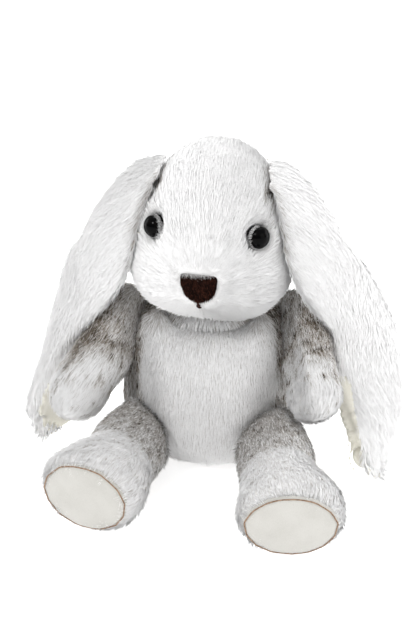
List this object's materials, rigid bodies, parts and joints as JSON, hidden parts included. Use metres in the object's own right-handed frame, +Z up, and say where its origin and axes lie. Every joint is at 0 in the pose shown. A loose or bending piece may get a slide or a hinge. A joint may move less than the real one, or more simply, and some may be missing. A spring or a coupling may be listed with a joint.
{
  "type": "plush rabbit",
  "caption": "Seated lop-eared plush rabbit with long hanging ears, round belly panel, glossy domed eyes and velour foot pads.",
  "frame": {"origin": "centre of the flat seat under the torso, on the surface the toy sits on", "axes": "+Z up, the toy faces -Y, and its own left side is +X"},
  "size_m": [0.2359, 0.2155, 0.2143],
  "materials": {
    "plush_white": "long white plush pile with grey-brown flecks near the seams",
    "plush_frosted": "grey-brown plush pile frosted with white tips",
    "plush_belly": "medium off-white plush pile",
    "velour_cream": "short cream velour",
    "fiberfill": "loose polyester filling",
    "pellet_bag": "plain woven bag of plastic pellets",
    "nose_brown": "dark brown satin-stitched thread",
    "eye_black": "glossy black domed plastic",
    "washer_plastic": "plain translucent white plastic",
    "ribbon_satin": "white satin ribbon, blank"
  },
  "bodies": {
    "torso": {"torso_shell": "plush_frosted", "belly_panel": "plush_belly", "torso_stuffing": "fiberfill", "bean_pouch": "pellet_bag", "tail": "plush_white", "care_label": "ribbon_satin"},
    "neck": {"neck_stuffing": "fiberfill"},
    "head": {"head_shell": "plush_white", "face_panel": "plush_white", "head_stuffing": "fiberfill", "eye_right": "eye_black", "eye_left": "eye_black", "eye_washer_right": "washer_plastic", "eye_washer_left": "washer_plastic", "nose": "nose_brown", "mouth_stitch": "nose_brown"},
    "ear_right": {"ear_outer_right": "plush_white", "ear_lining_right": "velour_cream"},
    "ear_left": {"ear_outer_left": "plush_white", "ear_lining_left": "velour_cream"},
    "arm_right": {"arm_shell_right": "plush_frosted", "arm_stuffing_right": "fiberfill"},
    "arm_left": {"arm_shell_left": "plush_frosted", "arm_stuffing_left": "fiberfill"},
    "leg_right": {"leg_shell_right": "plush_white", "sole_pad_right": "velour_cream", "leg_stuffing_right": "fiberfill"},
    "leg_left": {"leg_shell_left": "plush_white", "sole_pad_left": "velour_cream", "leg_stuffing_left": "fiberfill"}
  },
  "joints": [
    {"name": "head_turn", "type": "hinge", "parent": "torso", "child": "neck", "pos_m": [0, 0.004, 0.096], "axis": [0, 0, 1], "range_deg": [-8, 8]},
    {"name": "head_nod", "type": "hinge", "parent": "neck", "child": "head", "pos_m": [0, 0.004, 0.096], "axis": [-1, 0, 0], "range_deg": [-4, 6]},
    {"name": "ear_right_lift", "type": "hinge", "parent": "head", "child": "ear_right", "pos_m": [-0.035, -0.009, 0.196], "axis": [0.0993, 0.9636, 0.2483], "range_deg": [0, 100]},
    {"name": "ear_left_lift", "type": "hinge", "parent": "head", "child": "ear_left", "pos_m": [0.041, -0.009, 0.196], "axis": [0.0993, -0.9636, -0.2483], "range_deg": [0, 100]},
    {"name": "arm_right_swing", "type": "hinge", "parent": "torso", "child": "arm_right", "pos_m": [-0.05, 0.002, 0.093], "axis": [-0.9023, -0.3509, 0.2506], "range_deg": [-6, 28]},
    {"name": "arm_left_swing", "type": "hinge", "parent": "torso", "child": "arm_left", "pos_m": [0.05, 0.002, 0.093], "axis": [-0.9023, 0.3509, -0.2506], "range_deg": [-6, 28]},
    {"name": "leg_right_swing", "type": "hinge", "parent": "torso", "child": "leg_right", "pos_m": [-0.0336, -0.0232, 0.026], "axis": [-0.8, -0.6, 0], "range_deg": [-75, 12]},
    {"name": "leg_left_swing", "type": "hinge", "parent": "torso", "child": "leg_left", "pos_m": [0.0336, -0.0232, 0.026], "axis": [-0.8, 0.6, 0], "range_deg": [-75, 12]}
  ]
}
